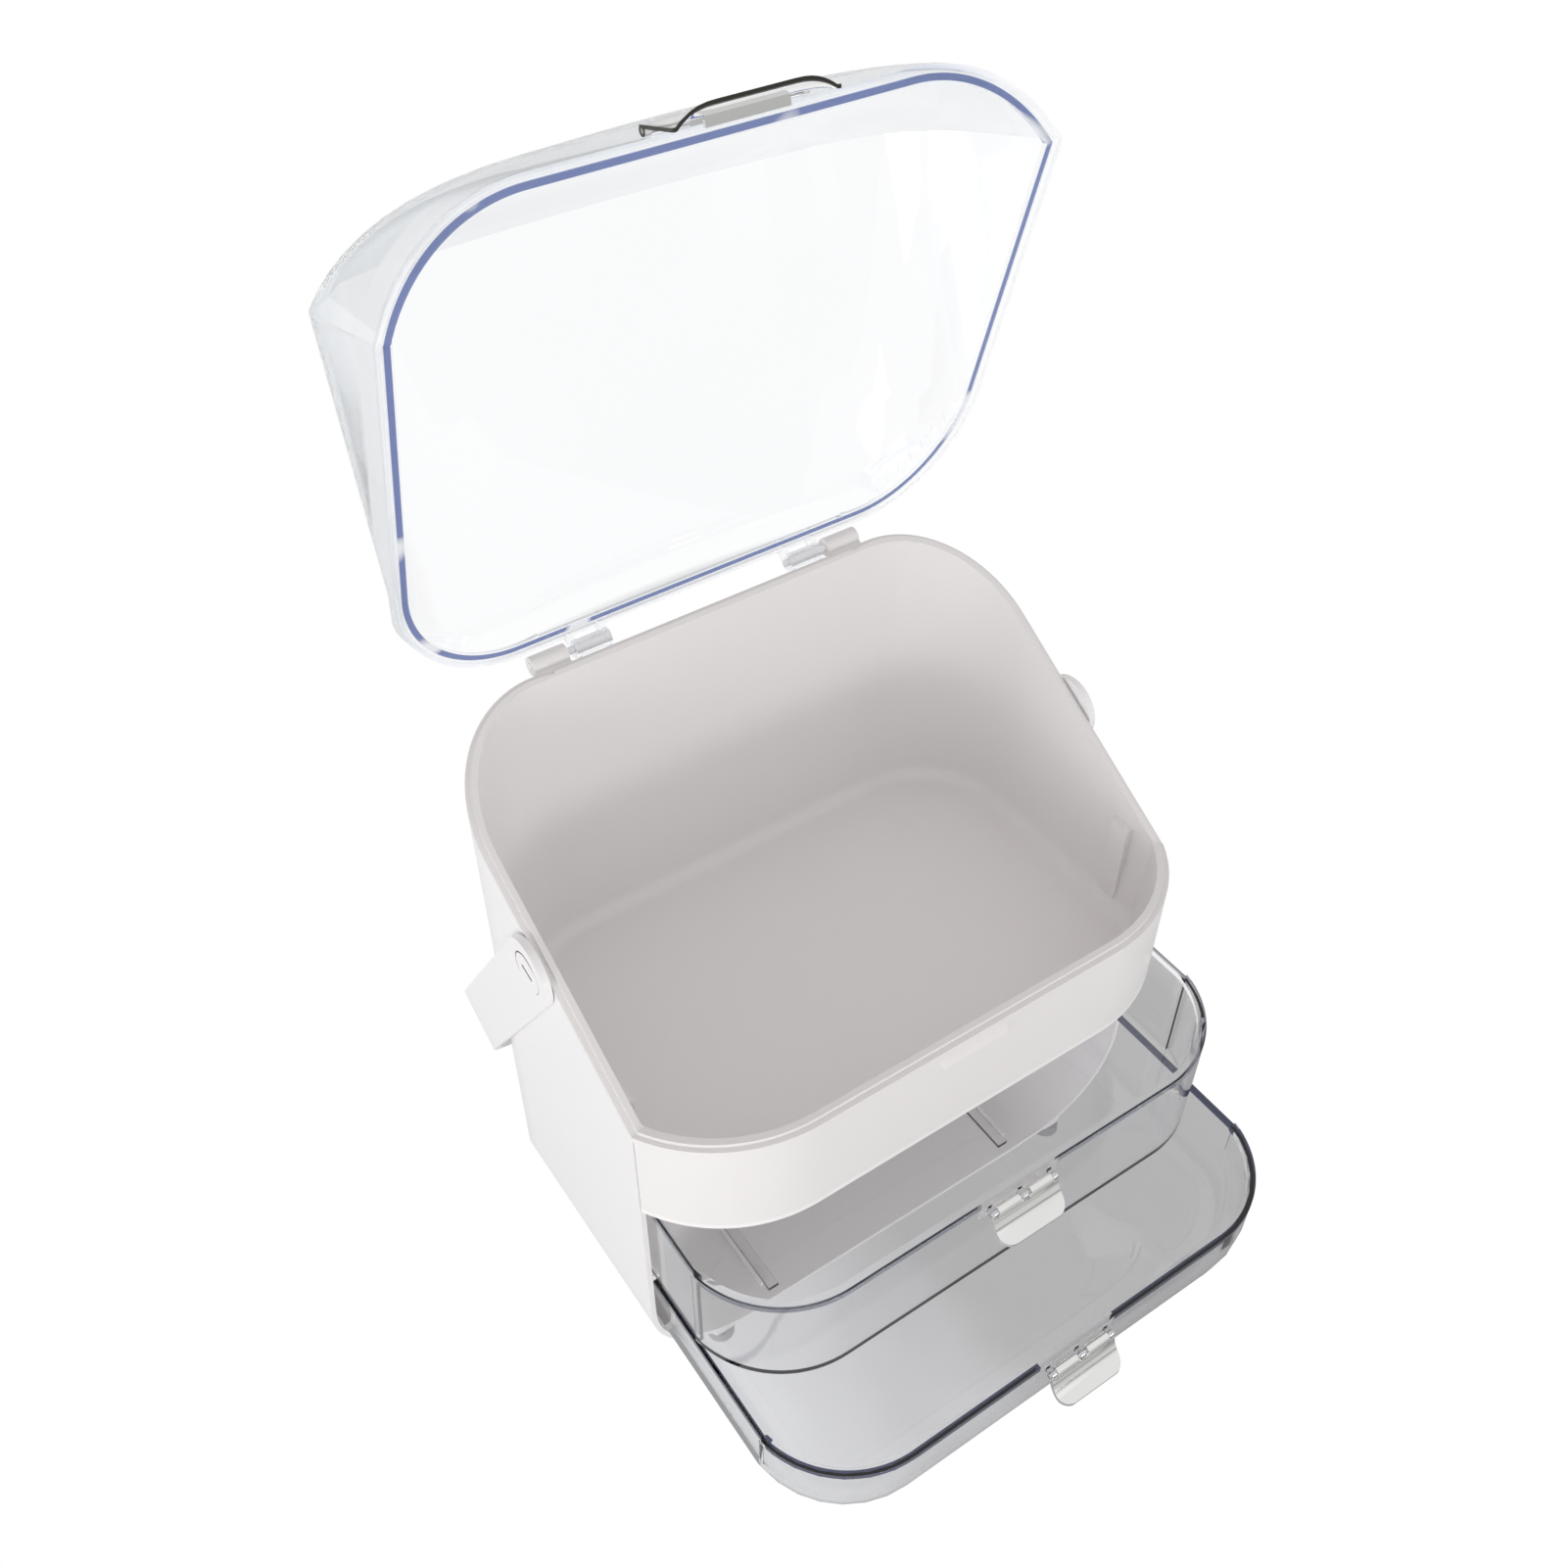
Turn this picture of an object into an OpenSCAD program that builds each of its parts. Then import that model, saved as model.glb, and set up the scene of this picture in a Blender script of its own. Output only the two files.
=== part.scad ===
// Vanity organizer: open tub under a clear hood, two clear drawers below it, flip latch, carry handle.
// Millimetres, +Z up, front towards -Y, feet on z = 0. The hood is drawn open, the drawers drawn pulled
// out and the handle drawn resting on the rear wall; that is the rest position of every joint.

/* [Body] */
// Width over the side walls
body_w = 300; // [270:1:330]
// Depth from the front edge of the side walls to the rear wall
body_d = 172.7; // [160:0.1:190]
// Where the front edge of the side walls lies, measured from the origin
edge_y = -49; // [-60:0.1:-30]
// How far the rounded nose stands ahead of the side walls
nose_d = 40.2; // [34:0.1:46]
// Corner radius of the nose in plan
nose_r = 77; // [70:1:85]
// Corner radius at the rear in plan
rear_r = 57; // [45:1:65]
// Wall thickness of the white mouldings
wall = 2.5; // [2:0.1:3]
// Radius of the long fillets between base and side walls
base_r = 57; // [45:1:60]
// Radius along the rear edge of the base
heel_r = 18; // [8:1:25]

/* [Rim] */
// Height of the tub above the bottom of its front band, at the front edge of the side walls
band_h = 58.8; // [52:0.1:66]
// Rise of the rim from there to the front
nose_rise = 2.8; // [0:0.1:5]
// Rise of the rim from there to the rear wall
rear_rise = 100.6; // [80:0.1:110]
// Height of the raised lip inside the hood's edge
lip_h = 2.2; // [1.5:0.1:3]
// Width of the ledge the hood's edge stands over
ledge_w = 2.6; // [2.4:0.1:3]
// Width of the whole rim from outside to the tub's mouth
rim_w = 5; // [5:0.1:7]
// Depth of the rim flange over the side walls
flange_t = 5; // [4.5:0.1:6]

/* [Tub] */
// Space between the floor of the tub and the bottom of its band
floor_up = 2.1; // [1:0.1:6]
// Slope of the side walls between mouth and floor, as sideways travel
side_draft = 3.5; // [1:0.5:6]
// Slope of the rear wall between mouth and floor, as travel forwards
rear_draft = 11; // [4:0.5:16]
// Radius between the tub's walls and its floor
tub_fillet = 9; // [6:0.5:14]
// Width and proudness of the pads on the tub's side walls
pad = [11, 1.5];

/* [Drawers] */
// Wall thickness of the drawers
drawer_t = 2; // [1.6:0.1:2.6]
// Clearance between drawer and side wall
drawer_gap = 0.6; // [0.4:0.1:1]
// Height of the lower drawer
lower_h = 74.8; // [66:0.1:82]
// Height of the upper drawer
upper_h = 58.9; // [50:0.1:64]
// How far the lower drawer is pulled out
lower_out = 91.1; // [0:0.1:115]
// How far the upper drawer is pulled out
upper_out = 39.8; // [0:0.1:115]
// Corner radius of the drawer fronts in plan
drawer_nose_r = 54; // [48:1:60]
// Space left behind a closed drawer
drawer_rear_gap = 9; // [5:1:20]
// Radius of the lower drawer's rounded bottom
boat_r = 56; // [50:1:58]
// How much narrower the drawers are where they run inside the case
drawer_step = 1.7; // [1:0.1:2.5]
// Width and depth of the thick rim round the front of each drawer
front_rim = [4.2, 3];

/* [Runners] */
// Height of the guide ribs on the base
rib_h = 2; // [1.5:0.1:3]
// Width of the guide ribs
rib_w = 2; // [1.6:0.1:3]
// Distance of each guide rib from the side of the body
rib_in = 68.5; // [66:0.5:80]
// Vertical and sideways clearance of the drawers on their runners
run_gap = 0.3; // [0.2:0.05:0.5]
// Width and length of the runner blocks under the lower drawer
block = [6, 46];
// Thickness of the side ledges that carry the upper drawer
shelf_t = 3.6; // [3:0.1:5]
// How far the side ledges reach in from the walls
shelf_w = 6; // [5:0.5:9]
// Air above the lower drawer and above the upper drawer
rim_air = 4; // [3:0.1:6]

/* [Pulls] */
// Width of the chrome tongue
pull_w = 38; // [34:1:46]
// Radius of the tongue's hollow curve
pull_r = 11.5; // [9:0.5:14]
// Sweep of the tongue's hollow curve in degrees
pull_a = 84; // [70:1:88]
// Thickness of the tongue
pull_t = 2; // [1.6:0.1:2.6]
// Corner radius of the tongue
pull_corner = 7; // [3:0.5:9]
// Height of the drawer rim over the pin
pull_drop = 7; // [6:0.5:9]
// Radius of the pull pins
pull_pin_r = 1.2; // [1:0.1:1.5]

/* [Hood] */
// Wall thickness of the hood
hood_t = 2.2; // [1.8:0.1:2.6]
// Height of the hood over the rear rim
hood_rise = 20.9; // [16:0.1:30]
// Fall of the roof from the middle to the shoulders
crown_fall = 8; // [4:0.5:12]
// Radius of the shoulders
shoulder_r = 57; // [45:1:70]
// Radius along the roof's rear edge
roof_r = 12; // [8:1:16]
// Height of the upright part of the hood's front face
face_h = 28; // [20:1:40]
// Shoulder radius at the hood's front face
face_r = 44; // [20:1:50]
// Opening angle of the hood
hood_open = 105.2; // [0:0.1:106]
// Air between the hood's edge and the ledge
seal_gap = 0.3; // [0.2:0.05:0.5]
// Thickness of the flange that rests on the tub's lip
seal_t = 2.4; // [1.6:0.1:3]
// How far that flange reaches inside the tub's mouth
seal_in = 1.8; // [0:0.1:3]

/* [Hinge] */
// Distance of the hinge line behind the rear wall
hinge_back = 6.4; // [6:0.1:8]
// Hinge line below the top of the rear rim
hinge_drop = 1.8; // [1:0.1:3]
// Radius of the hinge knuckles
knuckle_r = 4.6; // [4:0.1:5]
// Radius of the hinge pins
pin_r = 1.8; // [1.5:0.1:2.2]
// Radial clearance of every turning pin
pin_gap = 0.05; // [0.03:0.01:0.08]
// Middle of the knuckle on the tub
knuckle_x = 81; // [78:1:90]
// Width of the knuckle on the tub
knuckle_w = 18; // [12:1:22]
// Places of the two lugs on the hood
lug_x = [51, 67];
// Width of the hood's lugs
lug_w = 2.6; // [2:0.1:3.5]
// Height of their gussets over the rim
lug_rise = 8; // [2:0.5:9]

/* [Latch] */
// Width of the latch
latch_w = 70; // [62:1:80]
// Width over which its thumb tab stands out in full
tab_w = 32; // [20:1:40]
// How far the thumb tab flares forwards at its lower edge
tab_flare = 5.6; // [3:0.2:8]
// Length of the latch below its pin
latch_l = 22.5; // [20:0.5:28]
// Thickness of the latch plate
latch_t = 1.4; // [1.2:0.1:1.6]
// Radius of the latch pin
latch_pin_r = 1; // [0.8:0.1:1.2]
// Spacing of the hood's latch lugs
latch_lug_x = 28; // [22:0.5:29]
// Width of the hood's latch lugs
latch_lug_w = 8; // [6:0.5:10]

/* [Handle] */
// Width of the handle strap
strap_w = 33.4; // [26:0.2:36]
// Thickness of the handle strap
strap_t = 3.6; // [3:0.1:4.5]
// Gap between the strap and the side wall
strap_gap = 0.5; // [0.4:0.1:1]
// Gap between the resting grip and the rear wall
grip_gap = 2; // [1:0.1:6]
// Outside radius of the handle's corners
bend_r = 70; // [55:1:75]
// Depth of the pivots below the rim
pivot_drop = 14.6; // [14:0.1:30]
// Distance of the pivots behind the front edge of the side walls
pivot_in = 77; // [72:0.5:83]
// Angle of the resting handle below the horizontal
rest_a = 56; // [50:1:58]
// Radius of the pivot shafts
pivot_r = 6; // [5:0.1:7]
// Radius and thickness of the slotted caps let into the strap
cap = [10.2, 1.6];

/* [Feet] */
// Height of the feet
foot_h = 8.5; // [6:0.5:12]
// Radius of the feet
foot_r = 7.8; // [6:0.1:9]
// Distance of the feet from the sides of the body
foot_side = 39.5; // [36:0.5:50]
// Distance of the feet from the front and rear ends of the base
foot_in = [6, 34];

/* [Hidden] */
$fn = 96;
half = body_w/2;
rear_y = edge_y + body_d;
front_y = edge_y - nose_d;
nose_y = front_y + nose_r;
// heights, from the feet up
base_z = foot_h + wall;
lower_z = base_z + rib_h + run_gap;
lower_top = lower_z + lower_h;
shelf_z = lower_top + rim_air;
upper_z = shelf_z + shelf_t + run_gap;
upper_top = upper_z + upper_h;
band_z = upper_top + rim_air + 1;
floor_z = band_z + floor_up + wall;
rim_z = band_z + band_h;
rim_rear = rim_z + rear_rise;
rim_front = rim_z + nose_rise;
// the sloping rim line; it bends just behind the sharp corners
bend_y = edge_y + 0.4;
function rim_at(y) = y < bend_y ? rim_z + nose_rise*(bend_y - y)/nose_d
                                : rim_z + rear_rise*(y - bend_y)/(rear_y - bend_y);
// feet, ribs, drawers
foot_x = half - foot_side;
rib_x = half - rib_in;
drawer_rear_r = rear_r - wall - 4.5;
drawer_half = half - wall - drawer_gap;
drawer_back = rear_y - wall - drawer_rear_gap;
drawer_edge = edge_y + drawer_nose_r*0.137;
step_y = edge_y + drawer_step + 2.5;
// hood, hinge, latch
hood_z = -lip_h + seal_gap;
crown_z = rim_rear + hood_rise;
face_z = rim_front + face_h;
cap_r = (pow(nose_d, 2) + pow(crown_z - face_z, 2))/(2*nose_d);
hinge_y = rear_y + hinge_back;
hinge_z = rim_rear - hinge_drop;
latch_r = latch_pin_r + 1.1;
latch_y = front_y - latch_r - 0.3;
latch_z = rim_front + hood_z + latch_r + 1.1;
hook_z = latch_z - 15;
hook_t = 1.5;
hook_w = tab_w + 4;
// pulls, handle
pull_r0 = pull_pin_r + 1.4;
pull_y = front_y - pull_r0 - 0.4;
pivot_y = edge_y + pivot_in;
pivot_z = rim_at(pivot_y) - pivot_drop;
strap_x = half + strap_gap;
reach = (rear_y + grip_gap - pivot_y + strap_w/2*sin(rest_a))/cos(rest_a) + strap_t;

// ---------- shared outlines ----------

// plan of the body: straight sides, sharp turn into a rounded nose, round rear corners
module outline(hw, front, edge, back, nr, br) {
    cy = front + nr;
    cx = hw - sqrt(max(0, nr*nr - pow(cy - edge, 2)));
    intersection() {
        translate([-hw, front]) square([2*hw, back - front]);
        union() {
            translate([-hw, edge]) square([2*hw, back - br - edge]);
            translate([-cx, front]) square([2*cx, back - front]);
            for (s = [-1, 1]) {
                translate([s*cx, cy]) circle(nr);
                translate([s*(hw - br), back - br]) circle(br);
            }
        }
    }
}

module body_plan(d = 0) outline(half - d, front_y + d, edge_y, rear_y - d, nose_r - d, rear_r - d);

module drawer_plan(d = 0)
    outline(drawer_half - d, front_y + d, drawer_edge, drawer_back - d,
            drawer_nose_r - d, drawer_rear_r - d);

// the same plan as a ring of points, counterclockwise from the middle of the front
function ring(hw, front, edge, back, nr, br, n = 9) =
    let (cy = front + nr, up = min(cy - edge, 0.9*nr), cx = hw - sqrt(nr*nr - up*up), a1 = -asin(up/nr))
    let (side = concat([for (i = [0:n]) let (a = -90 + (90 + a1)*i/n) [cx + nr*cos(a), cy + nr*sin(a)]],
                       [for (i = [0:n]) let (a = 90*i/n) [hw - br + br*cos(a), back - br + br*sin(a)]]))
    concat(side, [for (i = [len(side) - 1:-1:0]) [-side[i][0], side[i][1]]]);

// skin over a list of sections with equal numbers of points, each a mirrored pair of halves and
// counterclockwise seen against the run; the end caps are strips from one half to the other
function strips(n, o) = [for (k = [0:floor(n/2) - 1]) let (a = k, b = n - 1 - k)
    each (b - a > 2 ? [[o + a, o + a + 1, o + b - 1], [o + a, o + b - 1, o + b]]
        : b - a == 2 ? [[o + a, o + a + 1, o + b]] : [])];
module loft(sections) {
    m = len(sections);
    n = len(sections[0]);
    polyhedron(points = [for (sec = sections) each sec], convexity = 6, faces = concat(
        strips(n, 0), [for (f = strips(n, (m - 1)*n)) [f[2], f[1], f[0]]],
        [for (i = [0:m - 2], j = [0:n - 1]) let (k = (j + 1)%n)
            each [[i*n + j, (i + 1)*n + k, i*n + k], [i*n + j, (i + 1)*n + j, (i + 1)*n + k]]]));
}

// extrudes a Y-Z shape across the whole width, and an X-Z shape from one Y to another
module across(w = 400) rotate([90, 0, 90]) linear_extrude(w, center = true) children();
module along(y0, y1) translate([0, y1, 0]) rotate([90, 0, 0]) linear_extrude(y1 - y0) children();

// everything above the sloping rim line, raised by dz
module above(dz = 0) across() polygon([
    [edge_y - 80, rim_at(edge_y - 80) + dz], [bend_y, rim_z + dz], [rear_y + 40, rim_at(rear_y + 40) + dz],
    [rear_y + 40, 900], [edge_y - 80, 900]]);

// ---------- casing ----------

module trough(d, front) intersection() {
    linear_extrude(600) union() {
        translate([-half + d, front]) square([body_w - 2*d, rear_y - rear_r - front]);
        translate([-half + rear_r, front]) square([body_w - 2*rear_r, rear_y - d - front]);
        for (s = [-1, 1]) translate([s*(half - rear_r), rear_y - rear_r]) circle(rear_r - d);
    }
    along(front, rear_y) union() {
        translate([-half + d, foot_h + base_r]) square([body_w - 2*d, 500]);
        translate([-half + base_r, foot_h + d]) square([body_w - 2*base_r, 500]);
        for (s = [-1, 1]) translate([s*(half - base_r), foot_h + base_r]) circle(base_r - d);
    }
    across() union() {
        translate([front, foot_h + d]) square([rear_y - heel_r - front, 500]);
        translate([front, foot_h + heel_r]) square([rear_y - d - front, 500]);
        translate([rear_y - heel_r, foot_h + heel_r]) circle(heel_r - d);
    }
}

module foot_places() for (x = [-foot_x, foot_x], y = [edge_y + foot_in[0], rear_y - foot_in[1]])
    translate([x, y, 0]) children();

module casing() color("white") difference() {
    union() {
        difference() {
            union() {
                trough(0, edge_y);
                // solid seats over the feet, where the base curves away from them
                intersection() {
                    foot_places() translate([0, 0, foot_h]) cylinder(h = base_r/2, r = foot_r);
                    translate([-half, edge_y, 0]) cube([body_w, body_d, 600]);
                    along(edge_y, rear_y) translate([-half + 2, foot_h]) square([body_w - 4, base_r]);
                }
            }
            trough(wall, edge_y - 20);
        }
        // guide ribs on the base
        for (s = [-1, 1]) translate([s*rib_x - rib_w/2, edge_y + 9, base_z - 0.5])
            cube([rib_w, body_d - 9 - heel_r, rib_h + 0.5]);
        // side ledges under the upper drawer
        intersection() {
            for (s = [-1, 1])
                translate([s > 0 ? half - wall - shelf_w : -half + 0.5, edge_y + 2.5, shelf_z])
                cube([shelf_w + wall - 0.5, body_d - rear_r, shelf_t]);
            trough(0.5, edge_y);
        }
        // bearing bosses round the handle's pivots
        for (s = [-1, 1]) translate([s*half, pivot_y, pivot_z]) rotate([0, s*90, 0])
            cylinder(h = strap_gap - 0.1, r = cap[0] + 3);
    }
    above(-flange_t);
    for (s = [-1, 1]) translate([s*(half - 10), pivot_y, pivot_z]) rotate([0, s*90, 0])
        cylinder(h = 20, r = pivot_r + pin_gap);
}

// ---------- tub ----------

// the bowl from floor to mouth; d grows it by the wall
module bowl(d) loft(concat(
    [for (a = [0:15:90]) bowl_ring(floor_z - d + (tub_fillet + d)*(1 - cos(a)),
                                   (tub_fillet + d)*(1 - sin(a)), 1, 1, d)],
    [bowl_ring(rim_z - 8, 0, 0.2, 1 - (rim_z - 8 - floor_z)/(rim_rear + 20 - floor_z), d),
     bowl_ring(rim_rear + 20 + d, 0, 0, 0, d)]));
function bowl_ring(z, in, k, kr, d) = [for (p = ring(
    half - rim_w - in - k*side_draft + d, front_y + rim_w + in + k*side_draft - d, edge_y + 2,
    rear_y - rim_w + 1.6 - in - kr*rear_draft + d, nose_r - rim_w - in - k*side_draft + d,
    rear_r - rim_w - in + d)) [p[0], p[1], z]];

module tub() color("white") difference() {
    union() {
        difference() {
            union() {
                // rim flange, and the front band below it
                difference() {
                    translate([0, 0, band_z]) linear_extrude(400) body_plan();
                    difference() {
                        translate([-half - 5, edge_y - 0.6, 0]) cube([body_w + 10, body_d + 20, 900]);
                        above(-flange_t);
                    }
                    difference() {
                        translate([0, 0, band_z - 5]) linear_extrude(400) body_plan(wall);
                        above(-flange_t);
                    }
                }
                difference() {
                    bowl(wall - 0.4);
                    above(-1);
                }
            }
            bowl(0);
            above(0);
            // ledge outside the lip
            difference() {
                above(-lip_h);
                linear_extrude(900) body_plan(ledge_w);
            }
        }
        // pads on the side walls
        for (s = [-1, 1]) translate([s > 0 ? half - rim_w - side_draft - pad[1] : -half + rim_w - 1,
                                     edge_y + 15, floor_z - 1])
            cube([side_draft + pad[1] + 1, pad[0], rim_z - floor_z]);
        // hinge knuckles
        for (s = [-1, 1]) {
            translate([s*knuckle_x - knuckle_w/2, hinge_y, hinge_z]) rotate([0, 90, 0])
                cylinder(h = knuckle_w, r = knuckle_r);
            difference() {
                translate([s*knuckle_x - knuckle_w/2, rear_y - 4, hinge_z - 1.9])
                    cube([knuckle_w, hinge_back + 4, rim_rear - lip_h - hinge_z + 1.8]);
                above(-lip_h);
            }
        }
        // catch bar for the latch on the band
        catch_bar();
    }
    for (s = [-1, 1]) translate([s*knuckle_x - 20, hinge_y, hinge_z]) rotate([0, 90, 0])
        cylinder(h = 40, r = pin_r + pin_gap);
}

// bar on the front band that the latch's hook snaps under
module catch_bar() translate([-hook_w/2, front_y, hook_z + hook_t + 0.3]) rotate([90, 0, 90])
    linear_extrude(hook_w)
        polygon([[1, 0], [-1.5, 0], [-1.9, 0.4], [-1.9, 0.9], [-1.2, 2.4], [0, 4], [1, 4]]);

// ---------- drawers ----------

// lugs on a drawer's front that hold the pull's pin, seen at the pin
module pull_lugs(top) difference() {
    for (x = [-pull_w/2 + 1.6, 0, pull_w/2 - 1.6]) translate([x - 1.3, 0, 0])
        rotate([90, 0, 90]) linear_extrude(2.6) {
            translate([pull_y, top - pull_drop]) circle(pull_r0);
            translate([pull_y, top - pull_drop - 1.5]) square([front_y - pull_y + 1, pull_r0 + 1.5]);
        }
    pull_bore(top, pin_gap);
}
module pull_bore(top, gap) translate([-pull_w/2 - 3, pull_y, top - pull_drop])
    rotate([0, 90, 0]) cylinder(h = pull_w + 6, r = pull_pin_r + gap);

module drawer_rim(top) {
    // thick rim round the front, ending in a step where the drawer enters the case
    intersection() {
        translate([0, 0, top - front_rim[1]]) linear_extrude(front_rim[1]) difference() {
            drawer_plan();
            drawer_plan(front_rim[0]);
        }
        translate([-half, front_y - 5, 0]) cube([body_w, step_y - front_y + 5, 900]);
    }
}
module drawer_sides() for (s = [-1, 1])
    translate([s > 0 ? drawer_half - drawer_step : -drawer_half - 10, step_y, 0])
        cube([drawer_step + 10, 300, 900]);

module upper_drawer() color([0.8, 0.82, 0.84, 0.5]) translate([0, -upper_out, 0]) {
    difference() {
        union() {
            difference() {
                translate([0, 0, upper_z]) linear_extrude(upper_h) drawer_plan();
                translate([0, 0, upper_z + drawer_t]) linear_extrude(upper_h)
                    drawer_plan(drawer_t + drawer_step);
                translate([0, front_y + 12, upper_z + drawer_t]) linear_extrude(upper_h) intersection() {
                    translate([0, -front_y - 12]) drawer_plan(drawer_t);
                    translate([-half, -20]) square([body_w, step_y - front_y + 6]);
                }
            }
            drawer_rim(upper_top);
        }
        drawer_sides();
    }
    pull_lugs(upper_top);
}

// the lower drawer's rounded form; d is the wall, taken off all round
module boat(d) loft(concat(
    [for (a = [0:10:90]) boat_ring(lower_z + d + (boat_r - d)*(1 - cos(a)), (boat_r - d)*(1 - sin(a)), d)],
    [boat_ring(lower_top + 10 + d, 0, d)]));
function boat_ring(z, in, d) = [for (p = ring(
    drawer_half - d - in, front_y + d + in, drawer_edge, drawer_back - d - in*0.2,
    max(7, drawer_nose_r - d - in), max(7, drawer_rear_r - d - in*0.6), 7)) [p[0], p[1], z]];

module lower_drawer() color([0.8, 0.82, 0.84, 0.5]) translate([0, -lower_out, 0]) {
    difference() {
        union() {
            difference() {
                boat(0);
                intersection() {
                    boat(drawer_t + 0.4);
                    union() {
                        translate([-half, front_y, 0]) cube([body_w, step_y - 1 - front_y, rim_rear]);
                        translate([drawer_step + drawer_t - drawer_half, front_y, 0])
                            cube([2*(drawer_half - drawer_step - drawer_t), body_d + nose_d, rim_rear]);
                    }
                }
            }
            drawer_rim(lower_top);
            // runner blocks under the floor, inside the guide ribs
            for (s = [-1, 1]) translate([s*(rib_x - rib_w/2 - run_gap - block[0]/2) - block[0]/2,
                                         drawer_back - 20 - block[1], base_z + 0.1])
                cube([block[0], block[1], lower_z - base_z + 1]);
        }
        drawer_sides();
        translate([-half, front_y - 10, lower_top]) cube([body_w, 400, 100]);
    }
    pull_lugs(lower_top);
}

// chrome tongue on its pin: a scoop that hangs down and curls forwards
module pull(top) {
    z = top - pull_drop;
    axis_y = pull_y - pull_r0 - pull_r;
    tip = axis_y + pull_r*cos(pull_a);
    difference() {
        union() {
            for (s = [-1, 1]) translate([s*(pull_w/4 - 0.15) - pull_w/4 + 3.4, pull_y, z])
                rotate([0, 90, 0]) cylinder(h = pull_w/2 - 6.5, r = pull_r0);
            intersection() {
                translate([-pull_w/2, axis_y, z]) rotate([90, 0, 90])
                    linear_extrude(pull_w) intersection() {
                    difference() {
                        circle(pull_r + pull_t);
                        circle(pull_r);
                    }
                    polygon([[0, 0], [2*pull_r, 0], [2*pull_r, -2*pull_r], [0, -2*pull_r],
                             [2*pull_r*cos(pull_a), -2*pull_r*sin(pull_a)]]);
                }
                // corners of the tip, seen from above
                translate([0, 0, z - 2*pull_r]) linear_extrude(3*pull_r) union() {
                    translate([-pull_w/2, tip + pull_corner]) square([pull_w, 2*pull_r]);
                    translate([-pull_w/2 + pull_corner, tip - 2])
                        square([pull_w - 2*pull_corner, 2*pull_r]);
                    for (s = [-1, 1]) translate([s*(pull_w/2 - pull_corner), tip + pull_corner])
                        circle(pull_corner);
                }
                pull_clear(z);
            }
        }
        pull_bore(top, pin_gap);
    }
}
// room for the lugs behind the tongue
module pull_clear(z) difference() {
    translate([-pull_w, pull_y - 3*pull_r, z - 3*pull_r]) cube([2*pull_w, 4*pull_r, 4*pull_r]);
    for (x = [-pull_w/2 + 1.6, 0, pull_w/2 - 1.6]) translate([x - 1.7, pull_y, z]) rotate([0, 90, 0])
        cylinder(h = 3.4, r = pull_r0 + 0.5);
}

module upper_pull() color("silver") translate([0, -upper_out, 0]) pull(upper_top);
module lower_pull() color("silver") translate([0, -lower_out, 0]) pull(lower_top);
module pull_pin(top) translate([-pull_w/2 - 0.4, pull_y, top - pull_drop])
    rotate([0, 90, 0]) cylinder(h = pull_w + 0.8, r = pull_pin_r);
module upper_pull_pin() color("silver") translate([0, -upper_out, 0]) pull_pin(upper_top);
module lower_pull_pin() color("silver") translate([0, -lower_out, 0]) pull_pin(lower_top);

// ---------- hood ----------

module hood_pose() translate([0, hinge_y, hinge_z]) rotate([-hood_open, 0, 0])
    translate([0, -hinge_y, -hinge_z]) children();

// half width, crown height and shoulder radius of the hood's section at y, with d taken off all round
function hood_half(y, d) = min(half - d,
    y < edge_y ? half - sqrt(pow(nose_r, 2) - pow(edge_y - nose_y, 2))
                 + sqrt(max(0, pow(nose_r - d, 2) - pow(y - nose_y, 2)))
    : y > rear_y - rear_r ? half - rear_r + sqrt(max(0, pow(rear_r - d, 2) - pow(y - rear_y + rear_r, 2)))
    : half);
function hood_top(y, d) = min(crown_z - d,
    y < edge_y ? face_z + sqrt(max(0, pow(cap_r - d, 2) - pow(y - front_y - cap_r, 2)))
    : y > rear_y - roof_r
        ? crown_z - roof_r + sqrt(max(0, pow(roof_r - d, 2) - pow(y - rear_y + roof_r, 2)))
    : crown_z);
function hood_r(y, d) = shoulder_r - d + (y < edge_y ? (face_r - shoulder_r)*(edge_y - y)/nose_d : 0);

// arched section of half width w and height t with shoulders r, its crown falling by f, cut off at +-lim;
// its walls stand upright up to the rim line
function arch(y, w, lim, t, r, f, foot) = let (q = max(0.5, min(r, t - f - rim_at(y))))
    [for (p = concat([[-w, foot], [-w, t - f - q]],
        [for (a = [7.5:7.5:85]) [-w + r*(1 - cos(a)), t - f - q + q*sin(a)]],
        [for (x = [-1:0.25:1]) [x*(w - r), t - f*x*x]],
        [for (a = [82.5:-7.5:5]) [w - r*(1 - cos(a)), t - f - q + q*sin(a)]],
        [[w, t - f - q], [w, foot]])) [max(-lim, min(lim, p[0])), y, p[1]]];
module hood_form(d) loft([for (y = concat(
        [for (a = [0:5.7:57.2]) nose_y - (nose_r - d)*cos(a)], [edge_y, rear_y - rear_r],
        [for (a = [7.5:7.5:90]) rear_y - rear_r + (rear_r - d)*sin(a)]))
    let (lim = hood_half(y, d), w = y < edge_y ? lim : half - d)
        arch(y, w, lim, hood_top(y, d), hood_r(y, d), crown_fall*w/half, rim_z - 20 - d)]);

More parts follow.
